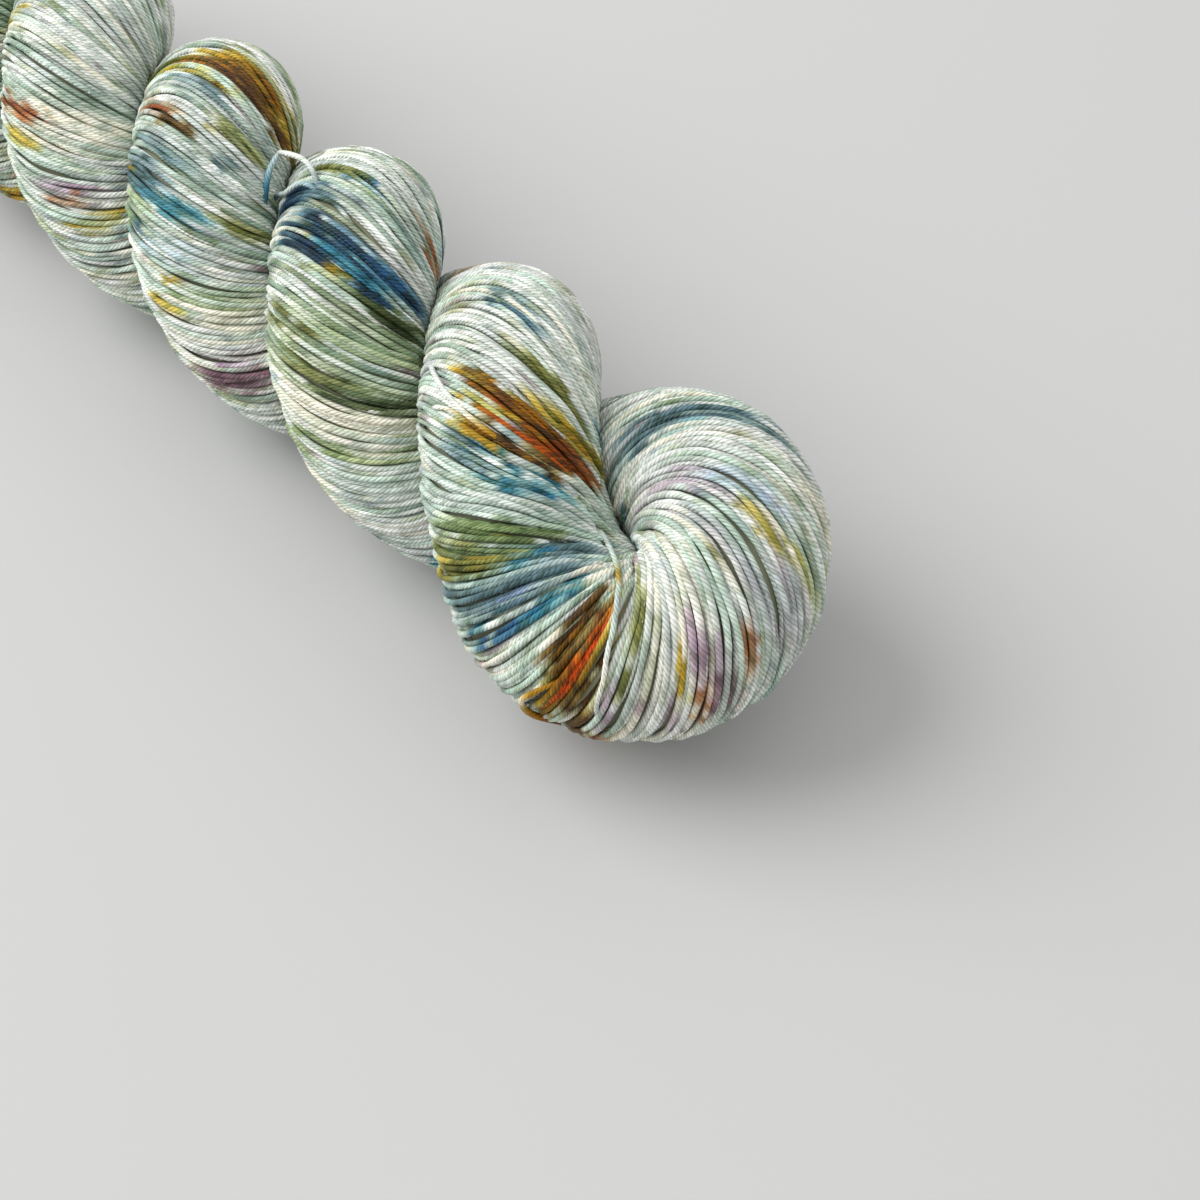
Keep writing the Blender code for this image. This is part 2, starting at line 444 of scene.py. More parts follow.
def row_moves(ply, row, turns, need):
    """The strands at one row, and how far each turns towards the middle of its room."""
    here = np.flatnonzero(~np.isnan(turns[:, row]))
    now = np.mod(turns[here, row], TURN)
    order = np.argsort(now)
    here, now = here[order], now[order]
    ring = np.interp(now, BIN_TURNS, ply.over_width[row])
    after = np.diff(ring, append=ring[0] + ply.over_width[row, -1])
    room = 0.5 * (need[here, row] + np.roll(need[here, row], -1))
    before, room_before = np.roll(after, 1), np.roll(room, 1)
    shift = (after * room_before - before * room) / (room + room_before)
    shift = np.clip(shift, -LONGEST_MOVE, LONGEST_MOVE)
    width = ply.sample(ply.width, row, now)
    return here, SPREAD_RATE * shift / np.maximum(width, NARROW) * ease((width - NARROW) / NARROW_EASE)


def spread(ply, runs):
    """Moves strands sideways until each has the room it needs between its neighbours.

    A strand needs less and less room past its ends, where it goes under the others.
    """
    spans, turns, need = with_dives(ply, runs)
    box = np.ones(SMOOTHING) / SMOOTHING
    for _ in range(SPREAD_ROUNDS):
        move = np.zeros_like(turns)
        for row in range(ply.count):
            here, moves = row_moves(ply, row, turns, need)
            move[here, row] = moves
        for n, (start, stop) in enumerate(spans):
            smooth = np.convolve(move[n, start:stop + 1], box)
            turns[n, start:stop + 1] += smooth[SMOOTHING // 2:-(SMOOTHING // 2)]
    return [(start, stop, turns[n, start:stop + 1], need[n, start:stop + 1])
            for n, (start, stop) in enumerate(spans)]


def wander(rng, count, step, length):
    """Smooth noise of about unit size along a run."""
    knots = int(count * step / length) + FEWEST_KNOTS
    values = rng.normal(size=knots)
    place = np.linspace(0.0, knots - 1.001, count)  # stays just short of the last knot
    low = place.astype(int)
    part = ease(place - low)
    return values[low] * (1.0 - part) + values[np.minimum(low + 1, knots - 1)] * part


def strand_path(ply, grooves, run, rng, layer):
    """Points, outward directions, rows and turns of one strand."""
    start, stop, turns, need = run
    rows = np.arange(start, stop + 1)
    width = np.maximum(ply.sample(ply.width, rows, turns), LEAST_WIDTH)
    aside = layer["sway"] * wander(rng, len(rows), ply.step, SWAY_LENGTH)
    aside = aside + FINE_SWAY * layer["sway"] * wander(rng, len(rows), ply.step, FINE_SWAY_LENGTH)
    turn = turns + aside / width
    sink = np.minimum(np.abs(wander(rng, len(rows), ply.step, SINK_LENGTH)), MOST_SINK)
    down = layer["depth"] + layer["sink"] * sink
    down = down + (1.0 - ease(need / DIVE_FROM)) * DIVE_DEPTH
    for groove in grooves:
        part = groove.soak(ply, rows, turn)
        if part is not None:
            down = down + part
    return place_on(ply, rows, turn, -down)


def place_on(ply, rows, turn, lift):
    """Points above the strands' layer, with the outward direction, row and turn of each."""
    low = np.clip(np.floor(rows).astype(int), 0, ply.count - 2)
    part = rows - low
    reach = ply.sample(ply.reach, low, turn) * (1.0 - part) + ply.sample(ply.reach, low + 1, turn) * part
    part = part[:, None]
    frames = (ply.centre, ply.across, ply.over)
    centre, across, over = [of[low] * (1.0 - part) + of[low + 1] * part for of in frames]
    outward = unit(np.cos(turn)[:, None] * across + np.sin(turn)[:, None] * over)
    length = np.maximum(reach - STRAND_RADIUS + lift, LEAST_OUT)
    return centre + outward * length[:, None], outward, rows, turn


def resample(points, extra, segment):
    """Even steps along a path, with further columns carried along."""
    run = np.concatenate([[0.0], np.cumsum(np.linalg.norm(np.diff(points, axis=0), axis=1))])
    count = max(FEWEST_POINTS, int(round(run[-1] / segment)) + 1)
    wanted = np.linspace(0.0, run[-1], count)
    table = np.concatenate([points, extra], axis=1)
    out = np.stack([np.interp(wanted, run, column) for column in table.T], axis=1)
    return out[:, :3], out[:, 3:], wanted


def fold_centre():
    """Where the fold's centre is in the row frame."""
    low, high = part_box("hank")
    ahead = FOLD_STRETCH * FOLD_BEND + FOLD_PLY
    return np.array([high.x - ahead * MM, (low.y + high.y) / 2.0, (high.z - FLAT_DEPTH * MM) / 2.0])


FOLD_CENTRE = fold_centre()


def to_frame(points):
    """From millimetres about the fold's centre to metres in the row frame."""
    return np.asarray(points) * MM + FOLD_CENTRE


def settle(points, radius):
    """Strands that would sink into the floor lie on it."""
    points = points.copy()
    points[:, 2] = np.maximum(points[:, 2], radius)
    return points


def ring_faces(first, rows, sides):
    """Quads between rings of points that start at the given one, and the caps at both ends."""
    i = first + np.arange(rows - 1)[:, None] * sides
    j = np.arange(sides)[None]
    k = (j + 1) % sides
    quads = np.stack([i + j, i + k, i + sides + k, i + sides + j], axis=-1).reshape(-1, 4)
    last = first + (rows - 1) * sides
    return quads, [first + n for n in range(sides - 1, -1, -1)], [last + n for n in range(sides)]


def add_uv(mesh, name, u, v):
    """A UV map from the two coordinates of every corner."""
    layer = mesh.uv_layers.new(name=name)
    layer.data.foreach_set("uv", np.stack([u, v], axis=1).astype(np.float32).ravel())


def new_object(name, data):
    """An object of the scene from a mesh, a lamp or a camera."""
    item = bpy.data.objects.new(name, data)
    bpy.context.scene.collection.objects.link(item)
    return item


class TubeMesh:
    """Gathers tubes into one mesh with its colours and UV maps."""

    def __init__(self, sides):
        self.sides = sides
        self.verts, self.faces, self.caps, self.dye = [], [], [], []
        self.u, self.v, self.tape = [], [], []
        self.count = 0
        self.segments = 0

    def add(self, path, outward, radius, length, dye):
        """One more tube, with the length along the strand and the dye at each of its points."""
        tangent = unit(np.gradient(path, axis=0))
        up = unit(outward - tangent * (outward * tangent).sum(axis=1, keepdims=True))
        side = np.cross(tangent, up)
        turn = np.arange(self.sides) / self.sides * TURN + math.pi
        ring = np.cos(turn)[None, :, None] * up[:, None] + np.sin(turn)[None, :, None] * side[:, None]
        verts = path[:, None] + ring * radius[:, None, None]
        quads, near_cap, far_cap = ring_faces(self.count, len(path), self.sides)
        self.verts.append(verts.reshape(-1, 3))
        self.faces.append(quads)
        self.caps += [near_cap, far_cap]
        self.dye.append(np.repeat(dye, self.sides, axis=0))
        self.place_faces(length)
        self.segments += len(path) - 1
        self.count += len(path) * self.sides

    def place_faces(self, length):
        """Where a tube's quads lie on its strand, and their place on the second map."""
        i = np.arange(len(length) - 1)[:, None]
        j = np.arange(self.sides)[None]
        sides = (j / self.sides, (j + 1) / self.sides)
        near, far, start, end = np.broadcast_arrays(*sides, length[:-1, None], length[1:, None])
        self.u.append(np.stack([near, far, far, near], axis=-1).reshape(-1))
        self.v.append(np.stack([start, start, end, end], axis=-1).reshape(-1))
        self.tape.append(np.stack(np.broadcast_arrays(self.segments + i, j), axis=-1).reshape(-1, 2))

    def finish(self, name, material, segment):
        verts, quads, caps = np.concatenate(self.verts), np.concatenate(self.faces), np.array(self.caps)
        corners = np.concatenate([quads.ravel(), caps.ravel()])
        starts = np.concatenate([np.arange(len(quads)) * 4, quads.size + np.arange(len(caps)) * self.sides])
        mesh = bpy.data.meshes.new(name)
        mesh.vertices.add(len(verts))
        mesh.vertices.foreach_set("co", verts.astype(np.float32).ravel())
        mesh.loops.add(len(corners))
        mesh.loops.foreach_set("vertex_index", corners.astype(np.int32))
        mesh.polygons.add(len(starts))
        mesh.polygons.foreach_set("loop_start", starts.astype(np.int32))
        mesh.polygons.foreach_set("use_smooth", np.ones(len(starts), bool))
        mesh.update()
        self.add_maps(mesh, caps.size, segment)
        dye = mesh.attributes.new("dye", "FLOAT_COLOR", "POINT")
        dye.data.foreach_set("color", np.concatenate(self.dye).astype(np.float32).ravel())
        mesh.materials.append(material)
        return new_object(name, mesh)

    def add_maps(self, mesh, spare, segment):
        """A map in millimetres for the plies, and one without overlaps."""
        unused = [np.zeros(spare)]
        add_uv(mesh, "Yarn", np.concatenate(self.u + unused), np.concatenate(self.v + unused))
        tape = np.concatenate(self.tape)
        rim = TURN * STRAND_RADIUS
        rows = max(2, int(math.ceil(math.sqrt(self.segments * segment / rim))))
        columns = int(math.ceil(self.segments / rows))
        left, top = tape[:, 0] % columns, tape[:, 0] // columns
        across = np.array([0.0, 1.0, 1.0, 0.0])
        along = np.array([0.0, 0.0, 1.0, 1.0])
        x = (left[:, None] + along[None]) / columns
        high = (1.0 - 2.0 * BAKE_MARGIN) * (tape[:, 1:2] + across[None]) / self.sides
        y = (top[:, None] + BAKE_MARGIN + high) / (rows + 1)
        x = np.concatenate([x.ravel(), np.full(spare, 0.5)])
        y = np.concatenate([y.ravel(), np.full(spare, (rows + 0.5) / (rows + 1))])
        add_uv(mesh, "OFBake", x, y)
        mesh.uv_layers["Yarn"].active_render = True
        mesh.uv_layers.active = mesh.uv_layers["Yarn"]


class Nodes:
    """A material with short ways to add to it."""

    def __init__(self, name, roughness):
        self.material = bpy.data.materials.new(name)
        self.material.use_nodes = True
        self.tree = self.material.node_tree
        self.shader = self.tree.nodes["Principled BSDF"]
        self.shader.inputs["Roughness"].default_value = roughness

    def new(self, kind, **settings):
        node = self.tree.nodes.new("ShaderNode" + kind)
        for name, value in settings.items():
            setattr(node, name, value)
        return node

    def feed(self, socket, value):
        """Sets a socket to a number or links an output to it."""
        if isinstance(value, (int, float)):
            socket.default_value = value
        else:
            self.tree.links.new(value, socket)

    def math(self, kind, *values):
        node = self.new("Math", operation=kind)
        for socket, value in zip(node.inputs, values):
            self.feed(socket, value)
        return node.outputs[0]


def wound_plies(nodes, u, v):
    """Which ply is at a place, and its height, wound as a rope."""
    wound = nodes.math("ADD", nodes.math("MULTIPLY", u, float(PLIES)), nodes.math("DIVIDE", v, MARK_SPACING))
    ridge = nodes.math("ABSOLUTE", nodes.math("SINE", nodes.math("MULTIPLY", wound, math.pi)))
    return wound, nodes.math("POWER", ridge, RIDGE_POWER)


def fibres(nodes, wound, v):
    """Noise that is drawn out along the plies."""
    join = nodes.new("CombineXYZ")
    nodes.feed(join.inputs[0], nodes.math("MULTIPLY", wound, FIBRE_ACROSS))
    nodes.feed(join.inputs[1], nodes.math("MULTIPLY", v, FIBRE_ALONG))
    noise = nodes.new("TexNoise")
    noise.inputs["Scale"].default_value = 1.0
    noise.inputs["Detail"].default_value = FIBRE_DETAIL
    nodes.feed(noise.inputs["Vector"], join.outputs[0])
    return noise.outputs["Fac"]


def relief(nodes, ridge, fibre):
    """The normal over the plies and their fibres."""
    bump = nodes.new("Bump")
    bump.inputs["Strength"].default_value = 1.0
    bump.inputs["Distance"].default_value = PLY_HEIGHT
    nodes.feed(bump.inputs["Height"], nodes.math("MULTIPLY_ADD", fibre, FIBRE_HEIGHT, ridge))
    return bump.outputs["Normal"]


def ply_tint(nodes, wound, dyed):
    """What each ply leaves of the colour, by channel, as some took more dye than others."""
    each = nodes.new("TexWhiteNoise", noise_dimensions="1D")
    nodes.feed(each.inputs["W"], nodes.math("FLOOR", wound))
    uneven = nodes.math("MULTIPLY_ADD", dyed, MARK_DYED, MARK_UNDYED)
    darker = nodes.math("MULTIPLY", nodes.math("POWER", each.outputs["Value"], MARK_SHARPNESS), uneven)
    tint = nodes.new("CombineXYZ")
    for socket, loss in zip(tint.inputs, MARK_LOSS):
        nodes.feed(socket, nodes.math("MULTIPLY_ADD", darker, -loss, 1.0))
    return tint.outputs[0]


def yarn_material():
    """Plied yarn: dye from the mesh, plies wound as a rope, fine fibres along them, painted shade between
    plies.
    """
    nodes = Nodes("plied_yarn", YARN_ROUGHNESS)
    nodes.shader.inputs["Specular IOR Level"].default_value = YARN_GLOSS
    dye = nodes.new("Attribute", attribute_name="dye")
    place = nodes.new("UVMap", uv_map="Yarn")
    split = nodes.new("SeparateXYZ")
    nodes.feed(split.inputs[0], place.outputs["UV"])
    u, v = split.outputs[0], split.outputs[1]
    wound, ridge = wound_plies(nodes, u, v)
    fibre = fibres(nodes, wound, v)
    nodes.feed(nodes.shader.inputs["Normal"], relief(nodes, ridge, fibre))
    # painted shade: the colour is darker in the grooves between the plies, and the fibres vary it at random
    shade = nodes.math("MULTIPLY_ADD", ridge, SHADE_RIDGE, SHADE_LEAST)
    shade = nodes.math("MULTIPLY_ADD", fibre, SHADE_FIBRE, shade)
    tinted = nodes.new("VectorMath", operation="MULTIPLY")
    nodes.feed(tinted.inputs[0], dye.outputs["Color"])
    nodes.feed(tinted.inputs[1], ply_tint(nodes, wound, dye.outputs["Alpha"]))
    shaded = nodes.new("VectorMath", operation="SCALE")
    nodes.feed(shaded.inputs[0], tinted.outputs[0])
    nodes.feed(shaded.inputs["Scale"], shade)
    nodes.feed(nodes.shader.inputs["Base Color"], shaded.outputs[0])
    return nodes.material


def core_material():
    """Dull dark yarn, its colour painted shade for the shadow deep between the strands."""
    nodes = Nodes("inner_yarn_painted_shade", CORE_ROUGHNESS)
    where = nodes.new("TexCoord")
    noise = nodes.new("TexNoise")
    noise.inputs["Scale"].default_value = CORE_NOISE
    nodes.feed(noise.inputs["Vector"], where.outputs["Object"])
    ramp = nodes.new("ValToRGB")
    for element, colour in zip(ramp.color_ramp.elements, CORE_SHADE_COLOURS):
        element.color = colour
    nodes.feed(ramp.inputs[0], noise.outputs["Fac"])
    nodes.feed(nodes.shader.inputs["Base Color"], ramp.outputs[0])
    return nodes.material


COLOURS = {
    # as seen in even light, red, green and blue up to 255
    "white": (230, 232, 226), "cream": (234, 228, 210), "pearl": (210, 212, 209),
    "mist": (184, 193, 191), "mint": (190, 209, 195), "sage": (132, 154, 136),
    "sea": (132, 156, 150), "ice": (168, 194, 202), "lavender": (184, 178, 190),
    "mauve": (148, 118, 142), "plum": (104, 72, 84), "slate": (74, 100, 108),
    "teal": (30, 94, 120), "blue": (38, 84, 126), "navy": (22, 48, 70),
    "indigo": (100, 118, 160), "pine": (40, 50, 26), "fern": (74, 92, 50),
    "olive": (92, 94, 40), "moss": (118, 138, 86), "gold": (164, 120, 20),
    "ochre": (138, 90, 6), "orange": (176, 76, 0), "flame": (214, 74, 0),
    "rust": (146, 78, 42), "brown": (68, 42, 10),
}
# Colours of the undyed yarn and of the flecks on it, with the share of each
GROUND = [
    ("mint", 0.22), ("white", 0.34), ("pearl", 0.16), ("mist", 0.10), ("cream", 0.08), ("sage", 0.10),
]
FLECKS = [
    ("white", 0.34), ("olive", 0.10), ("moss", 0.12), ("sage", 0.18), ("slate", 0.10),
    ("cream", 0.12), ("plum", 0.04),
]
# Dye picked at random, with the least and most of its half length, half width and strength
WASH = dict(colours=["sea", "white", "cream", "moss", "mist", "pearl", "sage"],
            length=(10.0, 18.0), width=(4.0, 9.0), strength=(0.3, 0.6))
STREAK = dict(colours=["moss", "mint", "cream", "white", "mist", "slate", "olive", "gold", "rust",
                       "teal", "navy", "mauve", "ochre", "fern", "ice", "slate", "olive"],
              length=(5.0, 13.0), width=(0.9, 3.2), strength=(0.5, 0.95))
RANDOM_SEED = 23
RANDOM_STEP = 6.0  # along the ply, from one set of random dye to the next
RANDOM_END = 5.0  # how far from the ply's ends they stay
# Dye that shows in front: the fold, then lobe by lobe. Wide, weak rows are washes. One cream row is a
# painted highlight.
DYE_TABLE = [
    # along the ply from the fold, turn round it in degrees, half length, half width, colour, strength
    (20, 285, 16, 11, "pearl", 0.65), (-6, 290, 18, 9, "white", 0.6), (-3, 290, 16, 8, "cream", 0.4),
    (14, 346, 10, 4.5, "cream", 0.7), (5, 335, 12, 5, "lavender", 0.5), (29, 284, 15, 1.9, "slate", 0.9),
    (33, 266, 7, 2.2, "slate", 0.7), (27, 276, 6, 0.8, "teal", 0.35), (14, 300, 8, 2.2, "indigo", 0.3),
    (17, 262, 8, 1.6, "mauve", 0.3), (15, 282, 7, 1.2, "ice", 0.5), (10, 311, 6, 1.3, "gold", 0.3),
    (9, 318, 5, 0.8, "olive", 0.35), (8, 346, 5, 1, "gold", 0.4), (9, 288, 4, 1, "sage", 0.5),
    (-3, 308, 5, 1, "mauve", 0.55), (-2, 323, 5, 2.2, "mauve", 0.6), (0, 336, 4, 1, "rust", 0.55),
    (-4, 350, 6, 3, "plum", 0.7), (-6, 344, 4, 1, "rust", 0.6), (-9, 352, 4, 1.6, "mauve", 0.5),
    (-6, 320, 4, 0.7, "gold", 0.5), (-13, 320, 5, 0.8, "olive", 0.6), (-10, 316, 5, 0.7, "olive", 0.5),
    (-8, 270, 8, 0.8, "olive", 0.5), (-15, 336, 4, 1, "mauve", 0.4), (-18, 348, 6, 3.5, "brown", 0.9),
    (-21, 340, 5, 2.5, "ochre", 0.85), (-17, 335, 6, 1.2, "gold", 0.8), (-17, 308, 10, 0.8, "gold", 0.85),
    (-18, 300, 12, 0.8, "flame", 1.1), (-16.2, 313, 9, 0.6, "brown", 0.8),
    (-19.3, 294, 10, 0.8, "brown", 0.9), (-20, 280, 6, 1.3, "brown", 0.85), (-21, 302, 4, 0.8, "ochre", 0.8),

    (-66, 240, 16, 9, "white", 0.5), (-45, 310, 20, 9, "sea", 0.4), (-32, 302, 14, 7, "sea", 0.5),
    (-52, 328, 11, 6, "mint", 0.6), (-47, 300, 12, 3, "white", 0.45), (-32, 264, 10, 4.5, "slate", 0.8),
    (-25, 330, 8, 3.5, "mint", 0.6), (-37, 300, 10, 1.8, "sage", 0.8), (-74, 268, 7, 0.9, "navy", 0.6),
    (-78, 272, 7, 1, "slate", 0.5), (-63, 236, 9, 0.8, "olive", 0.7), (-56, 224, 8, 1, "gold", 0.7),
    (-53, 206, 7, 0.9, "olive", 0.7), (-52, 196, 6, 1.2, "gold", 0.4), (-62.5, 277, 8, 0.7, "brown", 0.75),
    (-61.5, 276, 9, 1, "ochre", 0.95), (-60.5, 284, 6, 0.9, "gold", 0.9), (-60, 268, 9, 1, "ochre", 0.95),
    (-59, 262, 8, 0.8, "brown", 0.8), (-58, 256, 7, 1, "orange", 0.95), (-57.5, 248, 9, 0.8, "ochre", 0.9),
    (-57.5, 292, 6, 0.9, "gold", 0.85), (-56.5, 280, 7, 0.7, "ochre", 0.85),
    (-54.5, 262, 8, 0.8, "brown", 0.85), (-54, 246, 8, 1.3, "orange", 0.95),
    (-53, 238, 6, 0.8, "flame", 0.85), (-52, 232, 8, 1.2, "brown", 0.85), (-51, 222, 6, 1.2, "rust", 0.8),
    (-64, 290, 5, 0.7, "gold", 0.7), (-55.5, 266, 7, 0.5, "white", 0.7), (-56, 305, 7, 1.8, "slate", 0.6),
    (-54, 296, 6, 1, "slate", 0.5), (-52, 272, 9, 0.8, "teal", 1), (-50.5, 278, 6, 0.6, "teal", 0.9),
    (-49, 258, 8, 0.9, "teal", 0.85), (-51, 268, 8, 0.5, "white", 0.8), (-47, 266, 7, 1, "mist", 0.6),
    (-43, 288, 12, 1.6, "fern", 0.8), (-44, 302, 12, 1.2, "moss", 0.7), (-43, 324, 10, 1.5, "olive", 0.65),
    (-41, 312, 12, 0.8, "fern", 0.75), (-40, 340, 8, 1.8, "gold", 0.45), (-39, 330, 8, 1.3, "olive", 0.6),
    (-35, 278, 2, 0.9, "teal", 0.8), (-31, 300, 5, 0.8, "indigo", 0.55), (-26, 280, 6, 1.3, "teal", 0.95),
    (-29, 322, 6, 0.8, "blue", 0.95), (-31, 328, 4, 0.7, "teal", 0.7), (-29, 306, 12, 0.6, "white", 0.7),
    (-36, 312, 12, 0.6, "ice", 0.6), (-33, 315, 8, 1, "slate", 0.4),

    (135, 240, 18, 10, "sage", 0.3), (138, 250, 12, 6, "white", 0.5), (111, 205, 22, 7.5, "moss", 0.4),
    # the cream row at 102 along and 190 round is a painted highlight: the broad pale sheen low on this lobe
    (92, 195, 14, 5, "mint", 0.4), (102, 190, 18, 3.5, "cream", 0.9), (139, 172, 6, 2.5, "navy", 0.8),
    (137, 227, 5, 0.9, "blue", 0.6), (141, 206, 7, 0.9, "olive", 0.7), (134, 200, 6, 1.2, "slate", 0.7),
    (129, 220, 10, 1, "pine", 0.95), (128, 201, 4, 1.2, "gold", 0.7), (124, 216, 16, 3.4, "navy", 0.95),
    (121, 250, 8, 1.4, "blue", 0.7), (122, 226, 8, 1, "teal", 0.9), (120, 236, 6, 0.8, "ice", 0.7),
    (121, 220, 5, 0.6, "white", 0.7), (121, 213, 4, 0.9, "gold", 0.7), (115, 247, 3, 0.8, "gold", 0.65),
    (114, 250, 8, 1.1, "pine", 0.7), (128, 268, 9, 1.4, "slate", 0.45), (130, 285, 8, 1, "sage", 0.5),
    (116, 176, 9, 1.3, "olive", 0.75), (113, 181, 9, 1.2, "white", 0.7), (119, 190, 9, 1.6, "white", 0.5),
    (109, 192, 9, 1.2, "olive", 0.45), (102, 228, 12, 1.6, "pine", 0.5), (102, 172, 8, 1, "moss", 0.6),
    (96, 205, 10, 1.2, "moss", 0.5),

    (-183, 15, 18, 12, "mist", 0.45), (-158, 35, 12, 4, "cream", 0.85), (-171, 48, 9, 2.8, "ice", 0.6),
    (-196, 333, 13, 5.5, "ochre", 1), (-193, 328, 11, 2.2, "brown", 0.8), (-201, 5, 6, 2.5, "gold", 0.6),
    (-190, 296, 6, 1.6, "gold", 0.6), (-192, 0, 14, 1.3, "white", 0.5), (-193, 14, 9, 1.6, "slate", 0.6),
    (-191, 45, 7, 1.3, "rust", 0.9), (-187, 30, 7, 0.9, "brown", 0.6), (-184, 352, 2, 0.8, "gold", 0.8),
    (-184, 338, 6, 1.2, "olive", 0.5), (-183, 50, 9, 3.5, "slate", 0.6), (-181, 62, 8, 2, "slate", 0.7),
    (-175, 30, 8, 1.4, "teal", 0.5), (-180, 352, 3, 1, "slate", 0.6), (-169, 342, 5, 0.9, "olive", 0.8),
    (-175, 75, 3, 1.5, "navy", 0.5), (-166, 43, 1.8, 0.8, "gold", 0.85), (-162, 25, 11, 1.6, "moss", 0.55),
    (-164, 62, 4, 1.2, "gold", 0.5), (-153, 36, 7, 1.4, "mauve", 0.5), (-150, 52, 9, 2, "plum", 0.7),
    (-155, 45, 9, 1.4, "white", 0.7), (-147, 55, 5, 1.2, "white", 0.5),

    (230, 110, 20, 10, "mint", 0.5), (230, 118, 12, 4.5, "cream", 0.8), (246, 112, 14, 5, "white", 0.4),
    (226, 85, 9, 3, "sage", 0.4), (247, 160, 8, 3, "mist", 0.6), (238, 125, 14, 2.5, "mist", 0.6),
    (234, 135, 9, 1.5, "sage", 0.6), (235, 84, 8, 1.5, "rust", 0.9), (232, 76, 5, 1.5, "gold", 0.3),
    (222, 104, 8, 1.5, "mauve", 0.5), (221, 98, 4, 1.2, "rust", 0.5), (216, 103, 5, 1.8, "gold", 0.5),
    (219, 107, 7, 1.2, "white", 0.6), (253, 74, 6, 1.5, "gold", 0.5), (245, 80, 7, 1.5, "sage", 0.7),
]
DYED = [
    # the stretches of the ply that the table covers: from, to, and turns from, to
    (-92, 42, 165, 385), (80, 155, 125, 310), (-210, -142, -85, 105), (200, 262, 20, 215),
]


def pick(rng, table):
    """A colour from a table of names and shares."""
    names, shares = zip(*table)
    shares = np.array(shares)
    return np.array(COLOURS[names[rng.choice(len(names), p=shares / shares.sum())]])


class Streak:
    """A place on the hank that is drawn out along the strands."""

    def __init__(self, ply, s, turn, half_length, half_width):
        self.row = int(np.clip(round(s / ply.step) + ply.apex, 1, ply.count - 2))
        turn = math.radians(turn)
        self.turns = ply.trace(self.row, [turn])[:, 0]
        self.half_length, self.half_width = half_length, half_width
        self.rate = ply.sample(ply.stretch, self.row, turn) * ply.step
        self.reach = half_length * STREAK_REACH / self.rate

    def part(self, ply, rows, turn, across_shift, along_shift, longer):
        """Share of the streak at each point of a strand, or None if it is far away."""
        if rows[0] > self.row + self.reach or rows[-1] < self.row - self.reach:
            return None
        near = np.rint(rows).astype(int)
        off = (turn - self.turns[near] + math.pi) % TURN - math.pi
        across = np.abs(off * ply.sample(ply.width, near, turn)) + across_shift * self.half_width
        along = np.abs((rows - self.row) * self.rate + along_shift * self.half_length)
        length = self.half_length * longer
        side = 1.0 - ease((across - self.half_width) / (SIDE_FADE * self.half_width))
        return side * (1.0 - ease((along - END_FULL * length) / (END_FADE * length)))


class Spot(Streak):
    """Dye that soaked in there, by an uneven amount from strand to strand."""

    def __init__(self, ply, s, turn, half_length, half_width, colour, strength):
        super().__init__(ply, s, turn, half_length, half_width)
        self.colour, self.strength = np.maximum(COLOURS[colour], DARKEST), strength
        self.depth = 1.0 - self.colour.min() / WHITE_LEVEL

    def soak(self, ply, rng, rows, turn):
        """How much of the dye each point of a strand took, or None if it is far away."""
        across = rng.uniform(-ACROSS_SHIFT, ACROSS_SHIFT)
        along = rng.uniform(-ALONG_SHIFT, ALONG_SHIFT)
        part = self.part(ply, rows, turn, across, along, rng.uniform(*LONGER))
        if rng.random() < MISSED:
            take = rng.uniform(*MISSED_TAKE)
        else:
            take = np.clip(rng.normal(TAKE, TAKE_SPREAD), *TAKE_LIMITS)
        return None if part is None else self.strength * take * part


class Groove(Streak):
    """Strands that lie lower there."""

    def __init__(self, ply, s, turn, half_length, half_width, depth):
        super().__init__(ply, s, turn, half_length, half_width)
        self.depth = depth

    def soak(self, ply, rows, turn):
        part = self.part(ply, rows, turn, 0.0, 0.0, 1.0)
        return None if part is None else self.depth * part


GROOVES = [
    # along the ply from the fold, turn round it in degrees, half length, half width, depth
    (-12, 276, 16, 0.9, 1.1), (-20, 286, 8, 1, 0.8), (129, 220, 12, 1, 0.9),
    (117, 212, 10, 0.8, 0.7), (-61, 262, 10, 0.8, 0.7),
]
LOOSE = [
    # for each point: along the ply, turn, lift off the strands' layer, colour
    [(-38, 226, -0.3, "sage"), (-28, 231, 0.6, "mist"), (-18, 246, 1, "mint"), (-15, 255, 1, "gold"),
     (-14, 262, 1, "mint"), (-14, 272, 0.9, "mist"), (-14, 286, 0.8, "mint"), (-15, 300, 0.7, "white"),
     (-15, 314, 0.6, "cream"), (-16, 330, 0.4, "white"), (-16, 346, -0.6, "mist")],
    [(-172, 320, -1.2, "slate"), (-176, 320, 0.3, "teal"), (-180, 319, 1.5, "ice"), (-183, 313, 2.4, "mist"),
     (147, 180, 5.4, "white"), (144, 188, 3.2, "white"), (140, 194, 1.2, "mist"), (134, 198, -0.8, "slate")],
    [(-174, 312, -0.8, "slate"), (-176, 310, 0.6, "slate"), (140, 168, 1.2, "mist"), (139, 178, 1.3, "mist"),
     (138, 188, 1, "ice"), (135, 198, -0.4, "slate")],
    [(-75, 339, -1, "sage"), (-70, 332, 0.1, "mist"), (-66, 322, 0.5, "white"), (-62, 309, 0.6, "white"),
     (-59.5, 298, 0.5, "cream"), (-57, 285, 0.2, "gold"), (-54, 268, -0.7, "ochre")],
    [(-63, 331, -0.8, "sage"), (-62, 323, 0.4, "white"), (-61, 311, 0.5, "cream"), (-59, 299, -0.5, "gold")],
    [(-20, 322, -0.8, "ochre"), (-22, 332, 0.3, "gold"), (-23, 341, 0.9, "gold"), (-24, 350, 1.1, "cream"),
     (-23.5, 3, 0.9, "gold"), (-22, 12, 0.3, "ochre"), (-20, 20, -0.8, "brown")],
]


def covered(s, turn):
    """Whether the dye table covers a place."""
    return any(low < s < high and (turn - start) % 360.0 < end - start for low, high, start, end in DYED)


